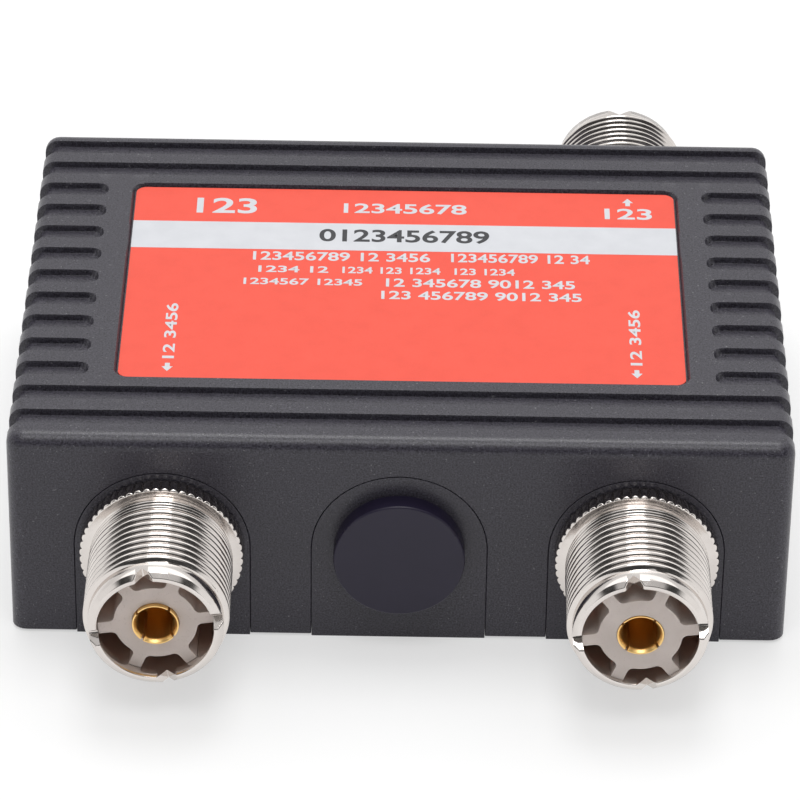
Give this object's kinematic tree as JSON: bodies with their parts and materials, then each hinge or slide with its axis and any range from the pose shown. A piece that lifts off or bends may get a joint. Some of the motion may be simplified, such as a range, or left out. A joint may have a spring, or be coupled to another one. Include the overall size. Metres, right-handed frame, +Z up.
{
  "type": "antenna duplexer",
  "caption": "Ribbed black die-cast box with threaded coaxial sockets on its front and rear walls, a blanking plug and a red label; splits an antenna feed into low and high bands.",
  "frame": {"origin": "under the middle of the case, on the surface that the base plate rests on", "axes": "+X to the right seen from the front, -Y the front with two sockets, +Y the rear with one socket, +Z up"},
  "size_m": [0.0856, 0.0966, 0.0259],
  "materials": {
    "case_coat": "fine-textured powder coat",
    "label_film": "printed satin film",
    "plug_plastic": "smooth satin",
    "black_steel": "blackened",
    "nickel": "bright nickel plate",
    "insulator": "milky moulded plastic",
    "gilt": "gilt",
    "zinc": "zinc plate",
    "copper": "bare wire",
    "board": "coated glass fibre",
    "capacitor": "dipped"
  },
  "bodies": {
    "root": {"top_cover": "case_coat", "base_plate": "case_coat", "label": "label_film", "blanking_plug": "plug_plastic", "cover_screws": "black_steel", "left_port_shell": "nickel", "left_port_insulator": "insulator", "left_port_contact": "gilt", "left_port_washer": "zinc", "left_port_nut": "nickel", "left_port_lead": "copper", "right_port_shell": "nickel", "right_port_insulator": "insulator", "right_port_contact": "gilt", "right_port_washer": "zinc", "right_port_nut": "nickel", "right_port_lead": "copper", "rear_port_shell": "nickel", "rear_port_insulator": "insulator", "rear_port_contact": "gilt", "rear_port_washer": "zinc", "rear_port_nut": "nickel", "rear_port_lead": "copper", "circuit_board": "board", "board_screws": "zinc", "shield_wall": "zinc", "low_pass_coils": "copper", "high_pass_coils": "copper", "low_pass_capacitors": "capacitor", "high_pass_capacitors": "capacitor"}
  },
  "joints": []
}
